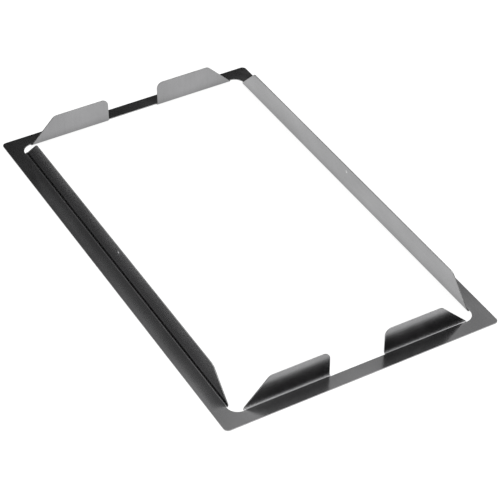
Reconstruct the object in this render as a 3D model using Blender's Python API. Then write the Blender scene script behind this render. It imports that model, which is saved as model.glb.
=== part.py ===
"""Paper frame of an enlarging easel: one folded sheet-metal blank, rim and walls.

A thin flat rim surrounds a rectangular opening. Walls are folded up from the opening's
edges: one long wall on each long side, and a pair of short tabs on each short side.
The rim and each wall are separate objects, which meet along their bend lines.

X runs across the frame, Y along it, Z up. The origin is the middle of the underside.
"""

import math

import bmesh
import bpy
from mathutils import Matrix, Vector

COLLECTION_NAME = "enlarging_easel_frame"
CUTTER_COLLECTION_NAME = "cutters"

# Driving dimensions, in metres.
FRAME_WIDTH = 0.300  # outside, along X
FRAME_LENGTH = 0.500  # outside, along Y
SHEET = 0.001  # thickness of the sheet
RIM_WIDTH = 0.0155  # flat rim, from its outside edge to the bend lines
RIM_CORNER_RADIUS = 0.005  # outside corners of the rim
RELIEF_RADIUS = 0.012  # corners of the opening, which start at the feet of the walls
BEND_RADIUS = 0.0017  # inside radius of every bend
WALL_HEIGHT = 0.0295  # top edges of the walls, above the underside
WALL_CORNER_RADIUS = 0.0075  # top corners of the walls
END_SLOPE = math.radians(45.0)  # slope of the walls' ends beside the corners
TAB_SPACING = 0.060  # between the two tabs of a short side
PIN_HOLE_DIAMETER = 0.0015  # in the middle of each long wall
PIN_HOLE_DROP = 0.0065  # from a long wall's top edge to its pin hole's axis
SEAM_GAP = 0.0003  # between the rim and the bend of each wall

# How finely round shapes are divided.
CORNER_STEPS = 10
BEND_STEPS = 8
PIN_HOLE_SIDES = 16
SMOOTH_ANGLE = math.radians(30.0)

CUTTER_REACH = 0.002  # how far a cutter reaches past what it cuts
WELD_DISTANCE = 0.00001  # between a filled outline's caps and its sides

# The finish: darkened steel with a satin sheen.
STEEL_COLOR = (0.3, 0.3, 0.304, 1.0)
STEEL_METALLIC = 1.0
STEEL_ROUGHNESS = 0.2

UP = Vector((0.0, 0.0, 1.0))


def clear_scene():
    for old in list(bpy.data.objects):
        bpy.data.objects.remove(old)


def new_collection(name):
    collection = bpy.data.collections.new(name)
    bpy.context.scene.collection.children.link(collection)
    return collection


def rounded_outline(corners):
    """The points of a closed outline whose corners, given as (point, radius), are arcs."""
    points = []
    for index, (corner, radius) in enumerate(corners):
        corner = Vector(corner)
        if radius == 0.0:
            points.append(corner)
            continue
        before = (Vector(corners[index - 1][0]) - corner).normalized()
        after = (Vector(corners[(index + 1) % len(corners)][0]) - corner).normalized()
        half_angle = before.angle(after) / 2
        centre = corner + (before + after).normalized() * radius / math.sin(half_angle)
        start = corner + before * radius / math.tan(half_angle) - centre
        turn = start.angle_signed(corner + after * radius / math.tan(half_angle) - centre)
        for step in range(CORNER_STEPS + 1):
            # Positive angles of angle_signed are clockwise.
            swing = Matrix.Rotation(-turn * step / CORNER_STEPS, 2)
            points.append(centre + swing @ start)
    return points


def rounded_rectangle(width, length, radius):
    x, y = width / 2, length / 2
    return rounded_outline([(corner, radius) for corner in ((x, y), (-x, y), (-x, -y), (x, -y))])


def extruded(name, outlines, thickness, collection):
    """A mesh of flat outlines in the local XY plane, half the thickness to either side."""
    curve = bpy.data.curves.new(name, "CURVE")
    curve.dimensions = "2D"
    curve.fill_mode = "BOTH"
    curve.extrude = thickness / 2
    for outline in outlines:
        spline = curve.splines.new("POLY")
        spline.points.add(len(outline) - 1)
        for point, place in zip(spline.points, outline):
            point.co = (place.x, place.y, 0.0, 1.0)
        spline.use_cyclic_u = True
    drawn = bpy.data.objects.new(name + "_outline", curve)
    collection.objects.link(drawn)
    graph = bpy.context.evaluated_depsgraph_get()
    mesh = bpy.data.meshes.new_from_object(drawn.evaluated_get(graph))
    bpy.data.objects.remove(drawn)
    weld_caps(mesh)
    solid = bpy.data.objects.new(name, mesh)
    collection.objects.link(solid)
    return solid


def weld_caps(mesh):
    """A filled curve's caps are loose from its sides until they are welded."""
    work = bmesh.new()
    work.from_mesh(mesh)
    bmesh.ops.remove_doubles(work, verts=work.verts, dist=WELD_DISTANCE)
    bmesh.ops.recalc_face_normals(work, faces=work.faces)
    work.to_mesh(mesh)
    work.free()


def placed(axis_x, axis_y, axis_z, origin):
    """The matrix that puts a local frame at the origin given, along the axes given."""
    turned = Matrix((axis_x, axis_y, axis_z)).transposed().to_4x4()
    return Matrix.Translation(origin) @ turned


def as_cutter(obj):
    obj.hide_render = True
    obj.display_type = "WIRE"


def add_boolean(obj, cutter, operation):
    boolean = obj.modifiers.new(cutter.name, "BOOLEAN")
    boolean.operation = operation
    boolean.solver = "EXACT"
    boolean.object = cutter


def finish(obj):
    """Its own satin steel, and smooth shading round the bends and corners."""
    steel = bpy.data.materials.new(obj.name + "_steel")
    steel.use_nodes = True
    shader = steel.node_tree.nodes["Principled BSDF"]
    shader.inputs["Base Color"].default_value = STEEL_COLOR
    shader.inputs["Metallic"].default_value = STEEL_METALLIC
    shader.inputs["Roughness"].default_value = STEEL_ROUGHNESS
    obj.data.materials.append(steel)
    obj.data.shade_smooth()
    obj.data.set_sharp_from_angle(angle=SMOOTH_ANGLE)


def build_rim(parts):
    """The flat rim: a rounded rectangle with the opening cut out of it."""
    opening = rounded_rectangle(
        FRAME_WIDTH - 2 * RIM_WIDTH, FRAME_LENGTH - 2 * RIM_WIDTH, RELIEF_RADIUS
    )
    outside = rounded_rectangle(FRAME_WIDTH, FRAME_LENGTH, RIM_CORNER_RADIUS)
    rim = extruded("base_rim", [outside, opening], SHEET, parts)
    rim.location.z = SHEET / 2
    finish(rim)


def folded_profile():
    """The section of a wall: a quarter bend from the rim's plane, and the upright above it.

    Local X points from the bend line into the opening, and local Y up.
    """
    outer_radius = BEND_RADIUS + SHEET
    arc = [math.pi / 2 * step / BEND_STEPS for step in range(BEND_STEPS + 1)]

    def bend(radius):
        return [
            Vector((radius * math.sin(angle), outer_radius - radius * math.cos(angle)))
            for angle in arc
        ]

    top = [Vector((outer_radius, WALL_HEIGHT)), Vector((BEND_RADIUS, WALL_HEIGHT))]
    return bend(outer_radius) + top + bend(BEND_RADIUS)[::-1]


def wall_outline(start, end, slopes_at_start, slopes_at_end):
    """A wall seen square on: local X runs along its bend line, and local Y up.

    A sloping end leaves the rim's top face at its foot and leans over the wall.
    """
    run = (WALL_HEIGHT - SHEET) / math.tan(END_SLOPE)
    top_start = start + run * slopes_at_start
    top_end = end - run * slopes_at_end
    return rounded_outline(
        [
            ((start, 0.0), 0.0),
            ((end, 0.0), 0.0),
            ((end, SHEET), 0.0),
            ((top_end, WALL_HEIGHT), WALL_CORNER_RADIUS),
            ((top_start, WALL_HEIGHT), WALL_CORNER_RADIUS),
            ((start, SHEET), 0.0),
        ]
    )


def build_wall(name, inward, bend_line, span, slopes, parts, cutters):
    """A folded wall, with its bend line bend_line from the frame's middle.

    Inward points from the wall to the middle. The span is where the foot starts and ends,
    along the bend line in the direction of inward x up, and slopes says which end slopes.
    """
    along = inward.cross(UP)
    foot = -bend_line * inward
    start, end = span
    middle = foot + along * (start + end) / 2
    wall = extruded(name, [folded_profile()], end - start + 2 * CUTTER_REACH, parts)
    wall.matrix_world = placed(inward, UP, along, middle)
    reach_across = 2 * (BEND_RADIUS + SHEET + CUTTER_REACH)
    outline = extruded(
        name + "_shape", [wall_outline(start, end, *slopes)], reach_across, cutters
    )
    outline.matrix_world = placed(along, UP, -inward, foot)
    as_cutter(outline)
    add_boolean(wall, outline, "INTERSECT")
    finish(wall)
    return wall


def drill_pin_hole(wall, inward, bend_line, cutters):
    """A pin hole through the wall, at mid-length and just under its top edge."""
    mesh = bpy.data.meshes.new(wall.name + "_pin_hole")
    work = bmesh.new()
    bmesh.ops.create_cone(
        work,
        cap_ends=True,
        segments=PIN_HOLE_SIDES,
        radius1=PIN_HOLE_DIAMETER / 2,
        radius2=PIN_HOLE_DIAMETER / 2,
        depth=SHEET + 2 * CUTTER_REACH,
    )
    work.to_mesh(mesh)
    work.free()
    drill = bpy.data.objects.new(mesh.name, mesh)
    cutters.objects.link(drill)
    mid_wall = -(bend_line - BEND_RADIUS - SHEET / 2) * inward
    height = UP * (WALL_HEIGHT - PIN_HOLE_DROP)
    drill.matrix_world = placed(UP, inward.cross(UP), -inward, mid_wall + height)
    as_cutter(drill)
    add_boolean(wall, drill, "DIFFERENCE")


def build_side_walls(parts, cutters):
    """The two long walls, each sloped at both ends."""
    bend_line = FRAME_WIDTH / 2 - RIM_WIDTH - SEAM_GAP
    reach = FRAME_LENGTH / 2 - RIM_WIDTH - RELIEF_RADIUS
    for name, side in (("left_side_wall", -1), ("right_side_wall", 1)):
        inward = Vector((-side, 0.0, 0.0))
        wall = build_wall(
            name, inward, bend_line, (-reach, reach), (True, True), parts, cutters
        )
        drill_pin_hole(wall, inward, bend_line, cutters)


def build_end_tabs(parts, cutters):
    """A pair of tabs on each short side: sloped beside the corner, square beside the gap."""
    bend_line = FRAME_LENGTH / 2 - RIM_WIDTH - SEAM_GAP
    corner = FRAME_WIDTH / 2 - RIM_WIDTH - RELIEF_RADIUS
    gap = TAB_SPACING / 2
    for end_name, side in (("near", -1), ("far", 1)):
        inward = Vector((0.0, -side, 0.0))
        tabs = {
            "left": ((-corner, -gap), (True, False)),
            "right": ((gap, corner), (False, True)),
        }
        for hand, (span, slopes) in tabs.items():
            if side > 0:  # seen from the far side, left and right change places
                span, slopes = (-span[1], -span[0]), slopes[::-1]
            name = f"{end_name}_{hand}_tab"
            build_wall(name, inward, bend_line, span, slopes, parts, cutters)


def main():
    clear_scene()
    parts = new_collection(COLLECTION_NAME)
    cutters = new_collection(CUTTER_COLLECTION_NAME)
    build_rim(parts)
    build_side_walls(parts, cutters)
    build_end_tabs(parts, cutters)


main()
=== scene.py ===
"""The paper frame of an enlarging easel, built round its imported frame.

One blank of thin steel makes the whole object: a flat rim, two long walls folded up from its
long sides, and two tabs folded up from each short side. Every piece here is worked out in the
flat blank first and folded afterwards, so the rolled grain runs unbroken from the rim through
the bends and up the walls.

X runs across the frame, Y along it, Z up. The origin is the middle of the underside.
"""

import math
from collections import namedtuple

import bmesh
import bpy
import numpy as np
from mathutils import Matrix, Vector


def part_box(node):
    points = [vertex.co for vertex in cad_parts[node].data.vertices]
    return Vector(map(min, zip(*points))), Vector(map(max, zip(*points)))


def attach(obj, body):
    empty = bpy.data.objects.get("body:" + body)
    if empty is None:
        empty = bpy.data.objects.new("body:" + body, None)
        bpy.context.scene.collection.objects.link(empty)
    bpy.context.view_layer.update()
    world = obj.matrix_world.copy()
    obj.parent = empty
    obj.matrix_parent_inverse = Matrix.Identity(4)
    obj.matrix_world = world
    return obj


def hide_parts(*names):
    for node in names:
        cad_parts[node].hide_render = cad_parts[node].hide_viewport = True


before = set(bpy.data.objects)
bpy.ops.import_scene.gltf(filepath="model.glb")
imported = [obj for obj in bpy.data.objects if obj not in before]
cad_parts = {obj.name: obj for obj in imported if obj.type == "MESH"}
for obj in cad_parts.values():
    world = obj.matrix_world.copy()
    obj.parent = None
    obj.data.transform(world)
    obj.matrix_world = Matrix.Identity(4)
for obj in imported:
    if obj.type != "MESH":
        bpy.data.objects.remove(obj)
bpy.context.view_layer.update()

bl_info = {
    "name": "Enlarging Easel Frame",
    "version": (1, 0, 0),
    "blender": (4, 5, 0),
    "location": "3D View > Sidebar > Easel",
    "description": "Builds the folded steel paper frame of an enlarging easel",
    "category": "Add Mesh",
}

BODY = "root"
BLANK = "blank"  # a point's place in the flat blank, on every vertex
CUT = "cut_edge"  # 1 on the sheared edges of the sheet, 0 on its faces
LIFT = "lift"  # height in metres that the faces of a wall gain as they lean, for shading
PAINTED_LIGHT_AND_SHADE = "painted_light_and_shade"  # painted light, or painted shade if negative, along the folds and round the pin holes
MERGE_DISTANCE = 1e-7
HAIR = 1e-6  # keeps rounding from deciding a comparison
SHARP_ANGLE = math.radians(40.0)
EDGE_ANGLES = np.radians([0.0, 30.0, 60.0, 90.0])  # the steps round a sheared edge
EDGE_SHEARED = np.array([0.35, 0.7, 1.0, 1.0])  # how much of each step is sheared metal
RIM_STRIPS = 5  # on each face of the rim, between its two edges

RIM_LOW, RIM_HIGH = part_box("base_rim")
WALL_LOW, WALL_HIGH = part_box("right_side_wall")
TAB_LOW, TAB_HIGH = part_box("near_right_tab")

# The inward direction of each wall, along X and Y.
SIDE_WALLS = {
    "left_side_wall": (1, 0),
    "right_side_wall": (-1, 0),
}
END_TABS = {
    "near_left_tab": (0, 1),
    "near_right_tab": (0, 1),
    "far_left_tab": (0, -1),
    "far_right_tab": (0, -1),
}

# Painted light and shade along the folds: the rim's beside a wall, then the walls' as (metres
# up the blank, painted light, darker if negative), on the face that looks out from the frame
# unless it says otherwise.
# A painted highlight runs along the start of a bend, painted shade lies in the bend and at
# the foot of the wall, and the side walls get painted light higher up and painted shade at
# the top.
RIM_PAINTED_FOLD_HIGHLIGHT = 0.2
SIDE_WALL_PAINTED_FOLD_LIGHT = (
    (0.0, 0.9),
    (0.0009, 1.1),
    (0.0014, -0.65),
    (0.0045, -0.5),
    (0.0090, -0.2),
    (0.0140, 0.0),
    (0.0200, 0.2),
    (0.0270, 0.2),
    (0.0320, -0.3),
)
TAB_PAINTED_FOLD_LIGHT = (
    (0.0, 0.1),
    (0.0012, 0.3),
    (0.0034, 0.25),
    (0.0050, -0.35),
    (0.0130, -0.35),
    (0.0180, 0.0),
)
INNER_PAINTED_FOLD_SHADE = ((0.0, -0.25), (0.0100, 0.0))  # painted shade at the foot of the inner face of every wall
PIN_HOLE_PAINTED_LIGHT = (2.0, 0.8)  # painted light round a pin hole, on the outer and inner face

# Patterns of noise on the blank, as (stretch of its axes, cells to the metre, detail, turn
# about Z). Rolling leaves the grain: fine lines along the sheet.
PATTERNS = {
    "grain": ((1.0, 0.02, 1.0), 4000.0, 3.0, 0.0),
    "broad_grain": ((1.0, 0.03, 1.0), 700.0, 2.0, 0.0),
    "cloud": ((1.0, 0.6, 1.0), 22.0, 3.0, 0.0),
    "mottle": ((1.0, 1.0, 1.0), 900.0, 2.0, 0.0),
    "wave": ((1.0, 0.7, 1.0), 9.0, 1.0, 0.0),
    "long_scratch": ((1.0, 0.05, 1.0), 260.0, 1.0, 0.5),
    "cross_scratch": ((0.06, 1.0, 1.0), 300.0, 1.0, 0.22),
    "scratch_patch": ((1.0, 1.0, 1.0), 35.0, 2.0, 0.0),
    "smudge": ((1.0, 0.8, 1.0), 30.0, 4.0, 0.0),
}
PATTERN_MIDDLE = 0.5
PATTERN_TONE = {"cloud": 0.5, "broad_grain": 0.1, "grain": 0.06, "mottle": 0.05}
PATTERN_ROUGHNESS = {"cloud": 0.06, "grain": 0.05, "mottle": 0.03}
PATTERN_HEIGHT = {  # metres
    "grain": 0.0000010,
    "broad_grain": 0.0000018,
    "mottle": 0.0000007,
    "wave": 0.0003,
}

# Scratches are narrow bands round the middle of their noise, kept in a few patches.
LONG_SCRATCH_BAND = (0.0005, 0.004)
CROSS_SCRATCH_BAND = (0.0004, 0.0035)
SCRATCH_PATCH_EDGE = (0.52, 0.66)
SCRATCH_STRENGTH = 0.6
SCRATCH_TONE = 0.12
SCRATCH_ROUGHNESS = 0.05
SCRATCH_DEPTH = 0.0000015  # metres
SMUDGE_EDGE = (0.5, 0.72)
SMUDGE_ROUGHNESS = 0.035

# The soft edges of the studio's lights. Each is the start and the end of a smooth step along
# X, Y or Z of the direction, whose length is 1.
OVERHEAD_EDGE = (0.81, 1.09)  # along Z and the lean
OVERHEAD_LEAN = (0.3, 0.15)  # how much X and Y add to Z
RAISED_EDGE = (0.5, 0.68)  # along Z, the foot of the side and near lights
SIDE_EDGE = (0.05, 0.45)  # along -X
SIDE_TOP_EDGE = (0.66, 0.76)  # along Z
SIDE_TOP_LOSS = 0.4  # the share of the side light that is gone above its top edge
NEAR_EDGE = (0.2, 0.8)  # along -Y
NEAR_TOP_EDGE = (0.66, 0.78)  # along Z
LOW_EDGE = (-0.14, 0.14)  # along -Y, less the slope times Z
LOW_SLOPE = 1.1
LOW_SIDE_EDGE = (0.385, 0.43)  # along X
LOW_FOOT_EDGE = (0.2, 0.4)  # along Z


# ---------------------------------------------------------------- settings


class EaselBlankSettings(bpy.types.PropertyGroup):
    """Sizes of the blank and its folds."""

    rim_width: bpy.props.FloatProperty(
        name="Rim Width",
        description="From the rim's outside edge to the foot of the walls",
        default=0.0155,
        unit="LENGTH",
    )
    rim_corner_radius: bpy.props.FloatProperty(
        name="Rim Corner Radius",
        description="Outside corners of the rim",
        default=0.005,
        unit="LENGTH",
    )
    relief_radius: bpy.props.FloatProperty(
        name="Relief Radius",
        description="Corners of the opening, where nothing is folded up",
        default=0.012,
        unit="LENGTH",
    )
    sheet: bpy.props.FloatProperty(
        name="Sheet",
        description="Thickness of the sheet",
        default=RIM_HIGH.z - RIM_LOW.z,
        unit="LENGTH",
    )
    bend_radius: bpy.props.FloatProperty(
        name="Bend Radius",
        description="Inside radius of every bend",
        default=0.0017,
        unit="LENGTH",
    )
    wall_height: bpy.props.FloatProperty(
        name="Wall Height",
        description="Top edges of the walls, above the underside",
        default=WALL_HIGH.z,
        unit="LENGTH",
    )
    wall_corner_radius: bpy.props.FloatProperty(
        name="Wall Corner Radius",
        description="Top corners of the walls",
        default=0.0075,
        unit="LENGTH",
    )
    end_slope: bpy.props.FloatProperty(
        name="End Slope",
        description="Slope of the walls' ends beside the corners of the frame",
        default=math.radians(45.0),
        subtype="ANGLE",
    )
    edge_radius: bpy.props.FloatProperty(
        name="Edge Radius",
        description="Rounding of the sheared edges after deburring",
        default=0.00016,
        unit="LENGTH",
    )
    pin_hole: bpy.props.FloatProperty(
        name="Pin Hole",
        description="Diameter of the pin hole in each long wall",
        default=0.0015,
        unit="LENGTH",
    )
    pin_hole_drop: bpy.props.FloatProperty(
        name="Pin Hole Drop",
        description="From a long wall's top edge to its pin hole",
        default=0.0065,
        unit="LENGTH",
    )
    side_wall_lean: bpy.props.FloatProperty(
        name="Side Wall Lean",
        description="How far the side walls seem to lean out, in their shading only",
        default=math.radians(0.8),
        subtype="ANGLE",
    )
    tab_lean: bpy.props.FloatProperty(
        name="Tab Lean",
        description="How far the tabs seem to lean out, in their shading only",
        default=math.radians(1.8),
        subtype="ANGLE",
    )
    corner_steps: bpy.props.IntProperty(
        name="Corner Steps",
        description="Steps round a rounded corner",
        default=16,
    )
    bend_steps: bpy.props.IntProperty(
        name="Bend Steps",
        description="Steps round a bend",
        default=16,
    )
    cell: bpy.props.FloatProperty(
        name="Cell",
        description="Greatest spacing of the lines of a flat face",
        default=0.004,
        unit="LENGTH",
    )


class EaselSteelSettings(bpy.types.PropertyGroup):
    """The finish of the steel."""

    color: bpy.props.FloatVectorProperty(
        name="Color",
        description="The steel's own reflectance",
        default=(0.3, 0.3, 0.304),
        subtype="COLOR",
        min=0.0,
        max=1.0,
    )
    cut_color: bpy.props.FloatVectorProperty(
        name="Cut Edge Color",
        description="Reflectance of the sheared edges",
        default=(0.42, 0.42, 0.42),
        subtype="COLOR",
        min=0.0,
        max=1.0,
    )
    roughness: bpy.props.FloatProperty(
        name="Roughness",
        description="Roughness of the satin faces",
        default=0.2,
        min=0.0,
        max=1.0,
    )
    cut_roughness: bpy.props.FloatProperty(
        name="Cut Edge Roughness",
        description="Roughness of the sheared edges",
        default=0.42,
        min=0.0,
        max=1.0,
    )


class EaselStageSettings(bpy.types.PropertyGroup):
    """Camera, floor and light."""

    azimuth: bpy.props.FloatProperty(
        name="Azimuth",
        description="The camera's place round the frame, from -Y toward +X",
        default=math.radians(-29.4),
        subtype="ANGLE",
    )
    elevation: bpy.props.FloatProperty(
        name="Elevation",
        description="The camera's height above the horizon",
        default=math.radians(39.74),
        subtype="ANGLE",
    )
    roll: bpy.props.FloatProperty(
        name="Roll",
        description="The camera's turn about its own axis",
        default=math.radians(-0.18),
        subtype="ANGLE",
    )
    distance: bpy.props.FloatProperty(
        name="Distance",
        description="From the camera to the point it looks at",
        default=1.885,
        unit="LENGTH",
    )
    aim: bpy.props.FloatVectorProperty(
        name="Aim",
        description="The point that the camera looks at",
        default=(-0.0045, -0.0369, 0.0),
        subtype="TRANSLATION",
    )
    lens: bpy.props.FloatProperty(
        name="Focal Length",
        description="The camera's focal length in millimetres",
        default=134.97,
    )
    floor_size: bpy.props.FloatProperty(
        name="Floor Size",
        description="Length of the floor's sides",
        default=3.0,
        unit="LENGTH",
    )
    floor_drop: bpy.props.FloatProperty(
        name="Floor Drop",
        description="How far the floor lies under the frame",
        default=0.0001,
        unit="LENGTH",
    )
    floor_color: bpy.props.FloatVectorProperty(
        name="Floor Color",
        description="How much of the light the floor reflects",
        default=(0.4, 0.4, 0.4),
        subtype="COLOR",
        min=0.0,
        max=1.0,
    )
    floor_glow: bpy.props.FloatProperty(
        name="Floor Glow",
        description="Light of the floor's own, which keeps it pale under the walls",
        default=0.86,
        min=0.0,
    )
    overhead_light: bpy.props.FloatProperty(
        name="Overhead Light",
        description="Strength of the soft box overhead",
        default=2.8,
        min=0.0,
    )
    side_light: bpy.props.FloatProperty(
        name="Side Light",
        description="Strength of the raised light on the -X side",
        default=0.78,
        min=0.0,
    )
    near_light: bpy.props.FloatProperty(
        name="Near Light",
        description="Strength of the raised light on the -Y side",
        default=0.13,
        min=0.0,
    )
    low_light: bpy.props.FloatProperty(
        name="Low Light",
        description="Strength of the low light on the -Y side",
        default=2.2,
        min=0.0,
    )
    dim_light: bpy.props.FloatProperty(
        name="Dim Light",
        description="Strength of the studio where no light is",
        default=0.01,
        min=0.0,
    )
    backdrop: bpy.props.FloatProperty(
        name="Backdrop",
        description="Brightness of the studio where it is seen past the floor's edge",
        default=1.5,
        min=0.0,
    )


# ---------------------------------------------------------------- meshes


def grid_faces(rows, columns, flip=False):
    """Quads of a grid of rows x columns points that are numbered row by row.

    The quad at row i and column j joins the points (i, j), (i, j+1), (i+1, j+1), (i+1, j).
    """
    i, j = np.meshgrid(np.arange(rows - 1), np.arange(columns - 1), indexing="ij")
    first = (i * columns + j).ravel()
    quads = np.stack([first, first + 1, first + columns + 1, first + columns], axis=1)
    return quads[:, ::-1] if flip else quads


def evenly(start, end, cell):
    """Points from start to end, no further apart than cell."""
    steps = max(1, math.ceil(abs(end - start) / cell - HAIR))
    return np.linspace(start, end, steps + 1)


def joined(*runs):
    """Runs of sorted values as one, each shared value once."""
    values = np.sort(np.concatenate(runs))
    return values[np.append(True, np.diff(values) > MERGE_DISTANCE)]


def edge_profile(radius, hold, half):
    """Half the section of a sheared edge, from a face of the sheet to mid-thickness.

    Each row is (inset from the edge, height above mid-thickness, how much is sheared):
    flat for the width hold, then a quarter circle of the radius, then straight down.
    """
    inset = radius - radius * np.sin(EDGE_ANGLES)
    height = half - radius + radius * np.cos(EDGE_ANGLES)
    rows = np.stack([inset, height, EDGE_SHEARED], axis=1)
    return np.vstack([[radius + hold, half, 0.0], rows])


def new_mesh(name, points, faces, blank_place, **marks):
    """A mesh with each vertex's place in the blank and the marks given on its vertices."""
    mesh = bpy.data.meshes.new(name)
    mesh.from_pydata(points.tolist(), [], faces)
    flat_place = mesh.attributes.new(BLANK, "FLOAT_VECTOR", "POINT")
    flat_place.data.foreach_set("vector", blank_place.astype(np.float32).ravel())
    for mark, values in marks.items():
        attribute = mesh.attributes.new(mark, "FLOAT", "POINT")
        attribute.data.foreach_set("value", values.astype(np.float32))
    mesh.validate()
    return mesh


def weld(mesh):
    """Merges points that fall on each other and drops the faces that this leaves flat."""
    work = bmesh.new()
    work.from_mesh(mesh)
    bmesh.ops.remove_doubles(work, verts=work.verts, dist=MERGE_DISTANCE)
    bmesh.ops.dissolve_degenerate(work, dist=MERGE_DISTANCE, edges=work.edges)
    work.to_mesh(mesh)
    work.free()


def finish_piece(mesh, node):
    """Shades the mesh smooth but for its corners and puts it in the place of its CAD node."""
    weld(mesh)
    mesh.shade_smooth()
    mesh.set_sharp_from_angle(angle=SHARP_ANGLE)
    mesh.materials.append(steel_material())
    piece = bpy.data.objects.new(node + "_sheet", mesh)
    bpy.context.scene.collection.objects.link(piece)
    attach(piece, BODY)
    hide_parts(node)


# ---------------------------------------------------------------- the rim


def rim_path(blank):
    """The rim's inner and outer edges as matched points, going round from the +X side.

    Each side is a straight run with stations at the feet of the walls, and each corner a
    quarter circle about its own centre on both edges. Returns the inner points, the outer
    points, the outward normal that both share, and where the inner edge is free.
    """
    half_x, half_y = RIM_HIGH.x, RIM_HIGH.y
    open_x, open_y = half_x - blank.rim_width, half_y - blank.rim_width
    side_foot = WALL_HIGH.y
    tab_foot, tab_gap = TAB_HIGH.x, TAB_LOW.x
    inner_runs, outer_runs, normal_runs, free_runs = [], [], [], []
    sweep = np.linspace(0.0, math.pi / 2, blank.corner_steps + 1)

    def straight(direction, normal, reach, edge, stretches):
        """A side: the stretches are (start, end, free) along it."""
        outer_reach = reach[1] / reach[0]
        for start, end, free in stretches:
            if end - start < 10 * MERGE_DISTANCE:
                continue
            along = evenly(start, end, blank.cell)[:, None]
            inner_runs.append(along * direction + normal * edge[0])
            outer_runs.append(along * outer_reach * direction + normal * edge[1])
            normal_runs.append(np.tile(normal, (len(along), 1)))
            free_runs.append(np.full(len(along), free))

    def corner(first, second):
        """A corner from the normal first to the normal second."""
        normal = np.cos(sweep)[:, None] * first + np.sin(sweep)[:, None] * second
        towards = first + second
        inner_centre = towards * (open_x, open_y) - towards * blank.relief_radius
        outer_centre = towards * (half_x, half_y) - towards * blank.rim_corner_radius
        inner_runs.append(inner_centre + normal * blank.relief_radius)
        outer_runs.append(outer_centre + normal * blank.rim_corner_radius)
        normal_runs.append(normal)
        free_runs.append(np.full(len(sweep), True))

    long_reach = (open_y - blank.relief_radius, half_y - blank.rim_corner_radius)
    short_reach = (open_x - blank.relief_radius, half_x - blank.rim_corner_radius)
    long_side = [
        (-long_reach[0], -side_foot, True),
        (-side_foot, side_foot, False),
        (side_foot, long_reach[0], True),
    ]
    short_side = [
        (-short_reach[0], -tab_foot, True),
        (-tab_foot, -tab_gap, False),
        (-tab_gap, tab_gap, True),
        (tab_gap, tab_foot, False),
        (tab_foot, short_reach[0], True),
    ]
    east, north = np.array([1.0, 0.0]), np.array([0.0, 1.0])
    straight(north, east, long_reach, (open_x, half_x), long_side)
    corner(east, north)
    straight(-east, north, short_reach, (open_y, half_y), short_side)
    corner(north, -east)
    straight(-north, -east, long_reach, (open_x, half_x), long_side)
    corner(-east, -north)
    straight(east, -north, short_reach, (open_y, half_y), short_side)
    corner(-north, east)
    inner, outer, normal = map(np.vstack, (inner_runs, outer_runs, normal_runs))
    return inner, outer, normal, np.concatenate(free_runs)


def rim_mesh(blank):
    """The rim: one section of the sheet carried round the frame.

    A point of the section is the inner edge's point moved outward by its inset, or the outer
    edge's point moved inward, and the points between mix the two. The inner edge is rounded
    only where it is free: where a wall is folded up, the sheet goes on into the bend.
    """
    inner, outer, normal, free = rim_path(blank)
    half = blank.sheet / 2
    hold = blank.edge_radius
    edge = edge_profile(blank.edge_radius, hold, half)
    square = edge_profile(0.0, hold + blank.edge_radius, half)
    square[:, 2] = 0.0
    inner_edge = np.where(free[:, None, None], edge, square)
    stations = len(inner)

    def offset(points, direction, rows):
        """Points of the path moved by the insets of rows, at the heights of rows."""
        moved = points[:, None, :] + direction[:, None, :] * rows[:, :, :1]
        return np.concatenate([moved, rows[:, :, 1:]], axis=2)

    outer_rows = np.tile(edge, (stations, 1, 1))
    inner_top = offset(inner, normal, inner_edge)
    outer_top = offset(outer, -normal, outer_rows)
    share = np.linspace(0.0, 1.0, RIM_STRIPS + 1)[1:-1][None, :, None]
    middle = inner_top[:, :1] * (1 - share) + outer_top[:, :1] * share
    top = np.concatenate([inner_top[:, ::-1], middle, outer_top], axis=1)
    under = top[:, ::-1] * (1.0, 1.0, -1.0, 1.0)
    section = np.concatenate([top, under], axis=1)
    count = section.shape[1]
    closed = np.concatenate([section, section[:, :1]], axis=1)
    closed = np.concatenate([closed, closed[:1]], axis=0)
    flat = closed.reshape(-1, 4)
    points = flat[:, :3] + (0.0, 0.0, half)
    faces = grid_faces(stations + 1, count + 1).tolist()

    # The painted highlight along the fold, on the inner edge's part of the section where a
    # wall is folded up.
    place = np.arange(count + 1)
    at_inner_edge = (place < len(edge)) | (place >= count - len(edge))
    tone = np.where(free, 0.0, RIM_PAINTED_FOLD_HIGHLIGHT)[:, None] * at_inner_edge
    marks = {CUT: flat[:, 3], PAINTED_LIGHT_AND_SHADE: np.vstack([tone, tone[:1]]).ravel()}
    return new_mesh("base_rim", points, faces, flat[:, :3], **marks)


# ---------------------------------------------------------------- walls


FoldLines = namedtuple("FoldLines", "seam bend_end foot top pin_hole")


def fold_lines(blank):
    """How far up the blank from the opening's edge a wall's lines lie.

    The bend starts at the seam and is a quarter circle at mid-sheet. The foot of the sloped
    ends lies level with the rim's top face.
    """
    seam = (RIM_HIGH.x - blank.rim_width) - WALL_HIGH.x
    bend_end = seam + (blank.bend_radius + blank.sheet / 2) * math.pi / 2
    top = bend_end + blank.wall_height - blank.bend_radius - blank.sheet
    foot = top - (blank.wall_height - blank.sheet)
    return FoldLines(seam, bend_end, foot, top, top - blank.pin_hole_drop)


def folded(flat, blank, seam):
    """Folds points of the flat blank, given as (along, up the blank, above mid-sheet).

    Up to the seam the sheet stays level. Then it turns through a quarter circle whose radius
    at mid-sheet is the bend radius plus half the sheet, and goes straight up. Returns
    (along, inward, up).
    """
    v, u, n = flat.T
    radius = blank.bend_radius + blank.sheet / 2
    turn = np.clip((u - seam) / radius, 0.0, math.pi / 2)
    upright = np.maximum(u - seam - radius * math.pi / 2, 0.0)
    inward = np.minimum(u, seam) + (radius - n) * np.sin(turn)
    up = blank.bend_radius + blank.sheet - (radius - n) * np.cos(turn) + upright
    return np.stack([v, inward, up], axis=1)


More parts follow.
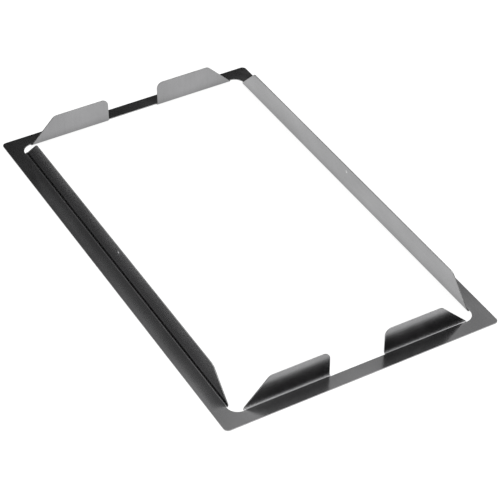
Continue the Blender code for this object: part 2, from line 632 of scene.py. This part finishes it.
def end_line(rows, blank, lines, slopes, inset):
    """One end of a wall in the blank: how far in it starts at each row, and its normal.

    The end is a straight foot, then for a sloped end a line at the slope's angle, then the
    quarter or part circle of the top corner, whose centre is one corner radius from the end
    and from the top. Distances are from the foot's corner, into the wall, and inset moves
    the whole outline inward.
    """
    radius = blank.wall_corner_radius
    inner_radius = radius - inset
    lean = blank.end_slope if slopes else math.pi / 2
    normal_angle = math.pi / 2 - lean
    centre_up = lines.top - radius
    rise = rows - lines.foot
    per_rise = 1 / math.tan(lean) if slopes else 0.0
    centre_in = (centre_up - lines.foot) * per_rise + radius / math.sin(lean)
    line = rise * per_rise + inset / math.sin(lean)
    swing = np.arcsin(np.clip((rows - centre_up) / inner_radius, -1.0, 1.0))
    on_arc = swing > normal_angle - HAIR
    arc = centre_in - inner_radius * np.cos(swing)
    place = np.maximum(np.where(on_arc, arc, line), inset)
    turned = np.where(on_arc, swing, normal_angle)
    normal = np.stack([-np.cos(turned), np.sin(turned)], axis=1)
    if slopes:
        kink = math.tan(normal_angle / 2)
        below = line < inset - MERGE_DISTANCE
        at_kink = np.abs(line - inset) <= MERGE_DISTANCE
        normal[below] = (-1.0, 0.0)
        normal[at_kink] = (-1.0, kink)
    return place, normal


def wall_rows(blank, lines, inset, with_hole):
    """How far up the blank a wall's rows lie.

    Rows follow the seam, the bend at equal angles, the kink where a sloped end leaves its
    foot, and equal angles of the top corners, with even rows between. At a pin hole they
    leave a cell of one diameter to either side of its middle.
    """
    bend = np.linspace(lines.seam, lines.bend_end, blank.bend_steps + 1)
    slope = blank.end_slope
    kink = lines.foot + inset * (1 - 1 / math.sin(slope)) * math.tan(slope)
    centre = lines.top - blank.wall_corner_radius
    swing = np.linspace(0.0, math.pi / 2, blank.corner_steps + 1)
    arc = centre + (blank.wall_corner_radius - inset) * np.sin(swing)
    upright = evenly(lines.bend_end, centre, blank.cell)
    if not with_hole:
        return joined([0.0], bend, [kink], upright, arc)
    reach = blank.pin_hole
    hole_rows = [lines.pin_hole - reach, lines.pin_hole, lines.pin_hole + reach]
    rows = joined([0.0], bend, [kink], upright, arc, hole_rows)
    off_middle = np.abs(rows - lines.pin_hole)
    in_cells = (off_middle > MERGE_DISTANCE) & (off_middle < reach - MERGE_DISTANCE)
    return rows[~in_cells]


def wall_columns(blank, length, length_at_hole, with_hole):
    """The share of the way from end to end at which a wall's columns lie.

    They are even, but for a pin hole's: those are one diameter to either side of the middle,
    and even columns closer to them than a quarter of a cell are left out.
    """
    share = evenly(0.0, 1.0, blank.cell / length)
    if not with_hole:
        return share
    reach = blank.pin_hole / length_at_hole
    beside = np.abs(share - 0.5) < reach + 0.25 * blank.cell / length
    return joined(share[~beside], [0.5 - reach, 0.5, 0.5 + reach])


def sheared_edge(blank, points, normals):
    """The section of a sheared edge carried along points of the blank, from face to face.

    A point of the section is the path's point moved along its normal, by how much nearer the
    edge the section has come.
    """
    edge = edge_profile(blank.edge_radius, blank.edge_radius, blank.sheet / 2)
    outward = (edge[0, 0] - edge[:, 0])[None, :, None]
    moved = points[:, None, :] + normals[:, None, :] * outward
    heights = np.broadcast_to(edge[None, :, 1:], (len(points), len(edge), 2))
    upper = np.concatenate([moved, heights], axis=2)
    lower = upper[:, ::-1] * (1.0, 1.0, -1.0, 1.0)
    return np.concatenate([upper, lower], axis=1)


def wall_mesh(name, blank, inward, span, slopes, with_hole, lean, painted_light_and_shade):
    """A wall: its outline in the blank filled with a grid, given a thickness, and folded.

    The grid's rows run along the wall at equal heights up the blank, from one end line to
    the other. The grid is laid on both faces of the sheet, the section of a sheared edge is
    carried round its two ends and its top between them, and the foot is closed flat, where
    it meets the rim. The span says where the foot starts and ends along the bend line, in
    the direction of inward x up, and slopes says which of those ends are sloped.
    """
    half = blank.sheet / 2
    inset = 2 * blank.edge_radius
    lines = fold_lines(blank)
    rows = wall_rows(blank, lines, inset, with_hole)
    start, start_normal = end_line(rows, blank, lines, slopes[0], inset)
    end, end_normal = end_line(rows, blank, lines, slopes[1], inset)
    start, end = span[0] + start, span[1] - end
    hole_row = int(np.argmin(np.abs(rows - lines.pin_hole)))
    length_at_hole = end[hole_row] - start[hole_row]
    share = wall_columns(blank, span[1] - span[0], length_at_hole, with_hole)
    hole_column = int(np.argmin(np.abs(share - 0.5)))
    v = start[:, None] * (1 - share) + end[:, None] * share
    u = np.broadcast_to(rows[:, None], v.shape)
    face = np.stack([v, u], axis=2).reshape(-1, 2)
    index = np.arange(len(face)).reshape(v.shape)

    # The two faces of the sheet, open where the pin hole goes.
    quads = grid_faces(*v.shape)
    if with_hole:
        opened = index[hole_row - 1 : hole_row + 1, hole_column - 1 : hole_column + 1]
        quads = quads[~np.isin(quads[:, 0], opened)]
    above = np.column_stack([face, np.full(len(face), half), np.zeros(len(face))])
    below = above * (1.0, 1.0, -1.0, 1.0)
    flat_parts = [above, below]
    faces = quads.tolist() + (quads[:, ::-1] + len(face)).tolist()

    # The sheared edge: up the start, along the top, down the end.
    border = np.concatenate([index[:, 0], index[-1, 1:-1], index[::-1, -1]])
    top_normal = np.tile([0.0, 1.0], (len(share) - 2, 1))
    end_normal = end_normal[::-1] * (-1.0, 1.0)
    border_normal = np.vstack([start_normal, top_normal, end_normal])
    edge = sheared_edge(blank, face[border], border_normal)
    edge_index = 2 * len(face) + np.arange(edge.shape[0] * edge.shape[1])
    edge_index = edge_index.reshape(edge.shape[:2])
    flat_parts.append(edge.reshape(-1, 4))
    faces += (grid_faces(*edge.shape[:2], flip=True) + edge_index[0, 0]).tolist()

    # The foot: one flat face where the sheet goes on into the rim.
    foot_loop = [index[0, ::-1], edge_index[0], index[0] + len(face), edge_index[-1, ::-1]]
    faces.append(np.concatenate(foot_loop).tolist())

    if with_hole:
        first = sum(map(len, flat_parts))
        circles, hole_faces = pin_hole(blank, index, face, hole_row, hole_column, first)
        flat_parts += circles
        faces += hole_faces

    flat = np.vstack(flat_parts)
    # Painted light and shade along the fold, on each face of the sheet.
    tone = np.where(
        flat[:, 2] > 0.0,
        np.interp(flat[:, 1], *zip(*painted_light_and_shade)),
        np.interp(flat[:, 1], *zip(*INNER_PAINTED_FOLD_SHADE)),
    )
    # Painted light round the pin hole.
    if with_hole:
        tone[first:] = np.repeat(PIN_HOLE_PAINTED_LIGHT, len(circles[0]))
    marks = {CUT: flat[:, 3], LIFT: flat[:, 1] * math.tan(lean), PAINTED_LIGHT_AND_SHADE: tone}
    inward = np.array([*inward, 0.0])
    up = np.array([0.0, 0.0, 1.0])
    axes = np.stack([np.cross(inward, up), inward, up])
    bend_line = np.abs(inward) @ np.array(RIM_HIGH) - blank.rim_width
    origin = -bend_line * inward
    points = origin + folded(flat[:, :3], blank, lines.seam) @ axes
    return new_mesh(name, points, faces, origin + flat[:, :3] @ axes, **marks)


def pin_hole(blank, index, face, row, column, first):
    """The pin hole: its circle on both faces of the sheet, the faces round it, and its wall.

    The eight points round the cells that it opens take two steps of the circle each, and the
    circle starts toward the first of them, a corner. Its own points are numbered from first.
    Returns the circles' points and the faces.
    """
    around = [(-1, -1), (-1, 0), (-1, 1), (0, 1), (1, 1), (1, 0), (1, -1), (0, -1)]
    ring = index[[row + i for i, j in around], [column + j for i, j in around]]
    sides = 2 * len(around)
    step = np.arange(sides)
    angle = math.radians(225.0) + step * 2 * math.pi / sides
    unit = np.stack([np.cos(angle), np.sin(angle)], axis=1)
    circle = face[index[row, column]] + blank.pin_hole / 2 * unit
    upper = np.column_stack([circle, np.full(sides, blank.sheet / 2), np.ones(sides)])
    lower = upper * (1.0, 1.0, -1.0, 1.0)
    following = (step + 1) % sides
    nth = np.arange(len(around))
    inner = [(2 * nth + 2) % sides, 2 * nth + 1, 2 * nth]
    on_circle = [first + part for part in inner]
    fan = np.stack([ring, ring[(nth + 1) % len(ring)], *on_circle], axis=1)
    to_under = [len(face)] * 2 + [sides] * 3
    under = (fan + to_under)[:, ::-1]
    wall = first + np.stack([step, following, sides + following, sides + step], axis=1)
    return [upper, lower], fan.tolist() + under.tolist() + wall.tolist()


# ---------------------------------------------------------------- shaders


class Value:
    """A number in a shader. Arithmetic on it adds Math nodes."""

    def __init__(self, shader, socket):
        self.shader = shader
        self.socket = socket

    def math(self, operation, first, second):
        node = self.shader.node("Math", {"operation": operation}, {0: first, 1: second})
        return node["Value"]

    def __add__(self, other):
        return self.math("ADD", self, other)

    def __radd__(self, other):
        return self.math("ADD", other, self)

    def __sub__(self, other):
        return self.math("SUBTRACT", self, other)

    def __rsub__(self, other):
        return self.math("SUBTRACT", other, self)

    def __mul__(self, other):
        return self.math("MULTIPLY", self, other)

    def __rmul__(self, other):
        return self.math("MULTIPLY", other, self)

    def __abs__(self):
        node = self.shader.node("Math", {"operation": "ABSOLUTE"}, {0: self})
        return node["Value"]


class Shader:
    """A node tree, and the one way in which nodes are added to it."""

    def __init__(self, owner):
        owner.use_nodes = True
        self.tree = owner.node_tree
        self.tree.nodes.clear()

    def node(self, kind, settings, inputs):
        """A new node's outputs by name. Settings are set first, then its sockets."""
        made = self.tree.nodes.new("ShaderNode" + kind)
        for name, value in settings.items():
            setattr(made, name, value)
        for key, value in inputs.items():
            if isinstance(key, int):
                socket = made.inputs[key]
            else:
                socket = next(s for s in made.inputs if s.enabled and s.name == key)
            if isinstance(value, Value):
                self.tree.links.new(value.socket, socket)
            else:
                socket.default_value = value
        return {out.name: Value(self, out) for out in made.outputs if out.enabled}

    def smooth_step(self, value, low, high):
        """0 below low, 1 above high, and a smooth rise between."""
        node = self.node(
            "MapRange",
            {"interpolation_type": "SMOOTHSTEP"},
            {"Value": value, "From Min": low, "From Max": high},
        )
        return node["Result"]

    def attribute(self, name, output):
        """What a mesh says under this name at each vertex."""
        return self.node("Attribute", {"attribute_name": name}, {})[output]

    def noise(self, place, stretch, scale, detail, turn):
        """Noise from 0 to 1 on a place that is turned about Z and then stretched."""
        spread = self.node(
            "Mapping",
            {"vector_type": "POINT"},
            {"Vector": place, "Rotation": (0.0, 0.0, turn), "Scale": stretch},
        )
        node = self.node(
            "TexNoise",
            {"noise_dimensions": "3D"},
            {"Vector": spread["Vector"], "Scale": scale, "Detail": detail},
        )
        return node["Fac"]

    def band(self, noise, edge):
        """1 where the noise is at its middle, fading to 0 to either side of it."""
        return 1.0 - self.smooth_step(abs(noise - PATTERN_MIDDLE), *edge)


def steel_material():
    """Satin rolled steel, darkened: grain along the sheet, clouding, hairlines, cut edges."""
    name = "satin_gunmetal_steel"
    if name in bpy.data.materials:
        return bpy.data.materials[name]
    look = bpy.context.scene.easel_steel
    material = bpy.data.materials.new(name)
    shader = Shader(material)
    place = shader.attribute(BLANK, "Vector")
    cut, lift, painted_light_and_shade = (shader.attribute(mark, "Fac") for mark in (CUT, LIFT, PAINTED_LIGHT_AND_SHADE))
    patterns = {
        pattern: shader.noise(place, *settings) for pattern, settings in PATTERNS.items()
    }

    def added(start, amounts):
        """The start plus each pattern, from its middle, times its amount."""
        for pattern, amount in amounts.items():
            start = start + (patterns[pattern] - PATTERN_MIDDLE) * amount
        return start

    long_scratch = shader.band(patterns["long_scratch"], LONG_SCRATCH_BAND)
    cross_scratch = shader.band(patterns["cross_scratch"], CROSS_SCRATCH_BAND)
    patch = shader.smooth_step(patterns["scratch_patch"], *SCRATCH_PATCH_EDGE)
    scratches = (long_scratch + cross_scratch) * patch * SCRATCH_STRENGTH
    smudge = shader.smooth_step(patterns["smudge"], *SMUDGE_EDGE)

    tone = added(1.0, PATTERN_TONE) + scratches * SCRATCH_TONE
    metal = shader.node(
        "Mix",
        {"data_type": "RGBA"},
        {"Factor": cut, "A": (*look.color, 1.0), "B": (*look.cut_color, 1.0)},
    )["Result"]
    # The steel's colour carries the painted light and shade of the folds and the pin holes.
    color = shader.node(
        "VectorMath",
        {"operation": "SCALE"},
        {"Vector": metal, "Scale": tone * (painted_light_and_shade + 1.0)},
    )["Vector"]

    roughness = added(look.roughness, PATTERN_ROUGHNESS)
    roughness = roughness + smudge * SMUDGE_ROUGHNESS + scratches * SCRATCH_ROUGHNESS
    roughness = roughness + cut * (look.cut_roughness - look.roughness)

    height = added(lift, PATTERN_HEIGHT) - scratches * SCRATCH_DEPTH
    normal = shader.node(
        "Bump", {}, {"Strength": 1.0, "Distance": 1.0, "Height": height}
    )["Normal"]
    surface = shader.node(
        "BsdfPrincipled",
        {},
        {"Base Color": color, "Metallic": 1.0, "Roughness": roughness, "Normal": normal},
    )["BSDF"]
    shader.node("OutputMaterial", {}, {"Surface": surface})
    return material


# ---------------------------------------------------------------- stage


def floor_material(stage):
    """Plain white paper, lit a little from within so that it stays pale under the walls."""
    material = bpy.data.materials.new("white_paper")
    shader = Shader(material)
    surface = shader.node(
        "BsdfPrincipled",
        {},
        {
            "Base Color": (*stage.floor_color, 1.0),
            "Roughness": 0.9,
            "Specular IOR Level": 0.0,
            "Emission Color": (1.0, 1.0, 1.0, 1.0),
            "Emission Strength": stage.floor_glow,
        },
    )["BSDF"]
    shader.node("OutputMaterial", {}, {"Surface": surface})
    material.cycles.emission_sampling = "NONE"
    return material


def build_floor(stage):
    """A flat square, just under the frame."""
    half = stage.floor_size / 2
    square = half * np.array([(-1, -1, 0), (1, -1, 0), (1, 1, 0), (-1, 1, 0)], float)
    square[:, 2] = -stage.floor_drop
    mesh = bpy.data.meshes.new("floor")
    mesh.from_pydata(square.tolist(), [], [(0, 1, 2, 3)])
    mesh.materials.append(floor_material(stage))
    floor = bpy.data.objects.new("floor", mesh)
    bpy.context.scene.collection.objects.link(floor)


def build_camera(stage):
    """Looks at the aim point from the azimuth, elevation and distance of the settings."""
    a, e = stage.azimuth, stage.elevation
    back = Vector((math.sin(a) * math.cos(e), -math.cos(a) * math.cos(e), math.sin(e)))
    lens = bpy.data.cameras.new("camera")
    lens.sensor_width = 36.0
    lens.lens = stage.lens
    lens.clip_start = 0.01
    lens.clip_end = 100.0
    camera = bpy.data.objects.new("camera", lens)
    upright = (-back).to_track_quat("-Z", "Y").to_matrix()
    roll = Matrix.Rotation(stage.roll, 3, "Z")
    camera.matrix_world = Matrix.Translation(Vector(stage.aim) + back * stage.distance) @ (
        (upright @ roll).to_4x4()
    )
    bpy.context.scene.collection.objects.link(camera)
    bpy.context.scene.camera = camera


def build_world(stage):
    """Soft lights in a dark studio, as functions of the direction that light comes from.

    The overhead light grows with the height of the direction, and a little toward +X and +Y.
    The side and near lights are bands above the horizon on the -X and -Y sides, and fade
    out again toward the top. The low light lies on the -Y side where that side is more than
    the slope times the height, and ends before +X and the horizon. Seen directly, past the
    floor's edge, the studio is white like the floor.
    """
    world = bpy.data.worlds.new("studio")
    shader = Shader(world)
    direction = shader.node("TexCoord", {}, {})["Generated"]
    part = shader.node("SeparateXYZ", {}, {"Vector": direction})
    x, y, z = part["X"], part["Y"], part["Z"]

    def above(value, edge):
        return shader.smooth_step(value, *edge)

    def below(value, edge):
        return 1.0 - shader.smooth_step(value, *edge)

    key = z + x * OVERHEAD_LEAN[0] + y * OVERHEAD_LEAN[1]
    raised = above(z, RAISED_EDGE)
    side_top = 1.0 - above(z, SIDE_TOP_EDGE) * SIDE_TOP_LOSS
    side = above(x * -1.0, SIDE_EDGE) * side_top * raised
    near = above(y * -1.0, NEAR_EDGE) * below(z, NEAR_TOP_EDGE) * raised
    low = above(y * -1.0 - z * LOW_SLOPE, LOW_EDGE)
    low = low * below(x, LOW_SIDE_EDGE) * above(z, LOW_FOOT_EDGE)
    light = stage.dim_light + above(key, OVERHEAD_EDGE) * stage.overhead_light
    light = light + side * stage.side_light + near * stage.near_light + low * stage.low_light
    seen = shader.node("LightPath", {}, {})["Is Camera Ray"]
    strength = light * (1.0 - seen) + seen * stage.backdrop
    background = shader.node("Background", {}, {"Strength": strength})["Background"]
    shader.node("OutputWorld", {}, {"Surface": background})
    bpy.context.scene.world = world


# ---------------------------------------------------------------- operators


class EASEL_OT_base_rim(bpy.types.Operator):
    """Builds the flat rim round the opening"""

    bl_idname = "easel.base_rim"
    bl_label = "Base Rim"
    bl_options = {"REGISTER", "UNDO"}

    def execute(self, context):
        finish_piece(rim_mesh(context.scene.easel_blank), "base_rim")
        return {"FINISHED"}


class EASEL_OT_side_walls(bpy.types.Operator):
    """Builds the two long walls, each with its pin hole"""

    bl_idname = "easel.side_walls"
    bl_label = "Side Walls"
    bl_options = {"REGISTER", "UNDO"}

    def execute(self, context):
        blank = context.scene.easel_blank
        for node, inward in SIDE_WALLS.items():
            low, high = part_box(node)
            mesh = wall_mesh(
                node,
                blank,
                inward,
                span=(low.y, high.y),
                slopes=(True, True),
                with_hole=True,
                lean=blank.side_wall_lean,
                painted_light_and_shade=SIDE_WALL_PAINTED_FOLD_LIGHT,
            )
            finish_piece(mesh, node)
        return {"FINISHED"}


class EASEL_OT_end_tabs(bpy.types.Operator):
    """Builds the pair of tabs on each short side"""

    bl_idname = "easel.end_tabs"
    bl_label = "End Tabs"
    bl_options = {"REGISTER", "UNDO"}

    def execute(self, context):
        blank = context.scene.easel_blank
        for node, inward in END_TABS.items():
            low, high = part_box(node)
            # Inward x up runs toward +X on the near side and toward -X on the far side.
            facing = inward[1]
            span = (low.x, high.x) if facing > 0 else (-high.x, -low.x)
            mesh = wall_mesh(
                node,
                blank,
                inward,
                span,
                # The end away from the frame's middle slopes.
                slopes=(span[0] + span[1] < 0, span[0] + span[1] > 0),
                with_hole=False,
                lean=blank.tab_lean,
                painted_light_and_shade=TAB_PAINTED_FOLD_LIGHT,
            )
            finish_piece(mesh, node)
        return {"FINISHED"}


class EASEL_OT_stage(bpy.types.Operator):
    """Builds the floor, the studio light and the camera"""

    bl_idname = "easel.stage"
    bl_label = "Stage"
    bl_options = {"REGISTER", "UNDO"}

    def execute(self, context):
        stage = context.scene.easel_stage
        build_floor(stage)
        build_world(stage)
        build_camera(stage)
        context.scene.view_settings.view_transform = "Standard"
        return {"FINISHED"}


class EASEL_PT_panel(bpy.types.Panel):
    """Sizes, finish and stage of the easel frame"""

    bl_idname = "EASEL_PT_panel"
    bl_label = "Easel Frame"
    bl_space_type = "VIEW_3D"
    bl_region_type = "UI"
    bl_category = "Easel"

    def draw(self, context):
        layout = self.layout
        for group in (
            context.scene.easel_blank,
            context.scene.easel_steel,
            context.scene.easel_stage,
        ):
            column = layout.column(align=True)
            for name in group.__annotations__:
                column.prop(group, name)
        for operator in OPERATORS:
            layout.operator(operator.bl_idname)


OPERATORS = (
    EASEL_OT_stage,
    EASEL_OT_base_rim,
    EASEL_OT_side_walls,
    EASEL_OT_end_tabs,
)
SETTINGS = {
    "easel_blank": EaselBlankSettings,
    "easel_steel": EaselSteelSettings,
    "easel_stage": EaselStageSettings,
}
CLASSES = (*SETTINGS.values(), *OPERATORS, EASEL_PT_panel)


def register():
    for each in CLASSES:
        bpy.utils.register_class(each)
    for name, group in SETTINGS.items():
        setattr(bpy.types.Scene, name, bpy.props.PointerProperty(type=group))


def unregister():
    for name in SETTINGS:
        delattr(bpy.types.Scene, name)
    for each in reversed(CLASSES):
        bpy.utils.unregister_class(each)


def main():
    register()
    bpy.ops.easel.stage()
    bpy.ops.easel.base_rim()
    bpy.ops.easel.side_walls()
    bpy.ops.easel.end_tabs()


if __name__ == "__main__":
    main()
